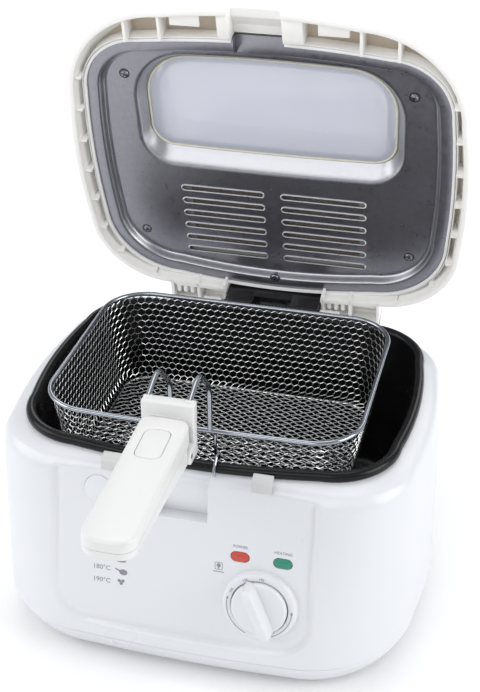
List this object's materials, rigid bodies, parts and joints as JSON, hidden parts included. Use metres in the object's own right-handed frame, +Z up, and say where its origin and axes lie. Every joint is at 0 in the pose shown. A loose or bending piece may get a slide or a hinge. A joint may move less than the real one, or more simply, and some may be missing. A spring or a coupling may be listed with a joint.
{
  "type": "deep fryer",
  "caption": "Household deep fryer: white housing, fixed black pot, wire basket with folding handle, hinged lid with window, thermostat dial.",
  "frame": {"origin": "on the floor under the middle of the housing, where the feet stand", "axes": "+Z up, -Y to the front where the handle and the controls are, +X to the right seen from the front"},
  "size_m": [0.2862, 0.3987, 0.3799],
  "materials": {
    "housing": "moulded white polypropylene, satin gloss",
    "pot": "non-stick coated pressed aluminium, satin black",
    "dark_rubber": "matte black rubber",
    "screw_steel": "zinc plated steel",
    "spreader": "rolled aluminium",
    "element": "heat-darkened steel tube",
    "inner_plastic": "heat-resistant moulded plastic",
    "bakelite": "brown phenolic",
    "copper_tube": "drawn copper capillary",
    "lead_sleeve": "silicone insulated leads",
    "red_lens": "translucent red lens",
    "green_lens": "translucent green lens",
    "black_plastic": "moulded black plastic",
    "chrome_wire": "chromed steel wire",
    "mesh_wire": "tinned steel mesh",
    "catch": "moulded warm grey plastic",
    "lid_plate": "silver-grey painted pressed aluminium",
    "seal": "white silicone",
    "glass": "clear toughened glass",
    "gasket": "cream silicone",
    "filter": "carbon filter fleece",
    "handle": "moulded white plastic, satin gloss"
  },
  "bodies": {
    "housing": {"housing_shell": "housing", "deck_ring": "housing", "control_panel": "housing", "dial_ring": "housing", "base_pan": "housing", "feet": "dark_rubber", "base_screws": "screw_steel", "pot": "pot", "heat_spreader": "spreader", "heating_element": "element", "element_clamp": "screw_steel", "clamp_pillars": "inner_plastic", "clamp_screws": "screw_steel", "thermostat": "inner_plastic", "thermal_cutout": "bakelite", "sensor_bulb": "copper_tube", "terminal_block": "inner_plastic", "mains_leads": "lead_sleeve", "cord_inlet": "dark_rubber", "lamp_red": "red_lens", "lamp_green": "green_lens", "lamp_holders": "black_plastic", "drain_hook": "chrome_wire", "hinge_mounts": "housing", "hinge_shaft": "screw_steel", "hinge_spring": "screw_steel", "button_spring": "screw_steel"},
    "knob": {"knob": "housing"},
    "release_button": {"release_button": "housing"},
    "latch": {"latch_bar": "catch"},
    "lid": {"lid_shell": "housing", "lid_plate": "lid_plate", "lid_seal": "seal", "window_glass": "glass", "window_gasket": "gasket", "window_frame": "housing", "filter_pad": "filter", "filter_frame": "inner_plastic", "plate_screws": "screw_steel", "hinge_arm": "black_plastic"},
    "basket": {"basket_rim": "chrome_wire", "basket_mesh": "mesh_wire", "basket_base_wire": "mesh_wire", "basket_catch": "chrome_wire", "handle_wires": "chrome_wire", "handle_bracket": "handle", "handle_pin": "screw_steel"},
    "handle": {"handle_upper": "handle", "handle_lower": "handle", "handle_button_spring": "screw_steel"},
    "handle_button": {"handle_button": "handle"}
  },
  "joints": [
    {"name": "lid_hinge", "type": "hinge", "parent": "housing", "child": "lid", "pos_m": [0, 0.1187, 0.1367], "axis": [1, 0, 0], "range_deg": [0, 75.76], "stiffness_Nm_per_rad": 0.6, "springref_deg": -51.57},
    {"name": "basket_lower", "type": "slide", "parent": "housing", "child": "basket", "axis": [0, 0.139, -0.9903], "range_m": [0, 0.0579]},
    {"name": "handle_fold", "type": "hinge", "parent": "basket", "child": "handle", "pos_m": [-0.0018, -0.1345, 0.1845], "axis": [1, 0, 0], "range_deg": [0, 75]},
    {"name": "handle_button_press", "type": "slide", "parent": "handle", "child": "handle_button", "axis": [0, 0, -1], "range_m": [0, 0.002], "stiffness_N_per_m": 400, "springref_m": -0.002},
    {"name": "thermostat_turn", "type": "hinge", "parent": "housing", "child": "knob", "pos_m": [0.0495, -0.11644, 0.0655], "axis": [0, -0.9845, 0.1753], "range_deg": [-270, 0]},
    {"name": "release_press", "type": "slide", "parent": "housing", "child": "release_button", "axis": [0, 0.9845, -0.1753], "range_m": [0, 0.0015], "stiffness_N_per_m": 500, "springref_m": -0.003},
    {"name": "latch_slide", "type": "slide", "parent": "housing", "child": "latch", "axis": [0, 1, 0], "range_m": [0, 0.0016]}
  ],
  "couplings": [
    {"joint": "basket_lower", "follows": "lid_hinge", "m_per_rad": 0.04353},
    {"joint": "latch_slide", "follows": "release_press", "ratio": 1}
  ]
}
